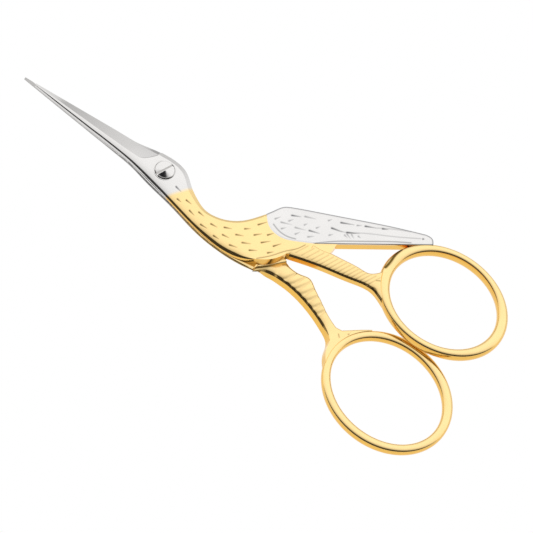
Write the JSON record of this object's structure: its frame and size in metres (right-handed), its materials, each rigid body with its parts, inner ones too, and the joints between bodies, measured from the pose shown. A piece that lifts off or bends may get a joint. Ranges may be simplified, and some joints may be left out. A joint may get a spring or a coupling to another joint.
{
  "type": "embroidery scissors",
  "caption": "Small stork-shaped embroidery scissors: slim blades form the beak, a slotted screw the eye, and the legs run into oval finger rings.",
  "frame": {"origin": "under the middle of the closed scissors, at the level they lie on", "axes": "+X from the blades towards the finger rings, +Y towards the wing, +Z out of the ornamented face"},
  "size_m": [0.0904, 0.0378, 0.0041],
  "materials": {
    "gilt_steel_front": "pale gold plating on forged steel, with the blade, head and wing left as bright polished steel",
    "gilt_steel_rear": "pale gold plating on forged steel, with the blade and neck left as bright polished steel",
    "screw_steel": "turned plain steel"
  },
  "bodies": {
    "rear": {"rear_half": "gilt_steel_rear", "pivot_screw": "screw_steel"},
    "front": {"front_half": "gilt_steel_front"}
  },
  "joints": [
    {"name": "pivot", "type": "hinge", "parent": "rear", "child": "front", "pos_m": [-0.01717, 0.00021, 0.0023], "axis": [0, 0, 1], "range_deg": [0, 60]}
  ]
}
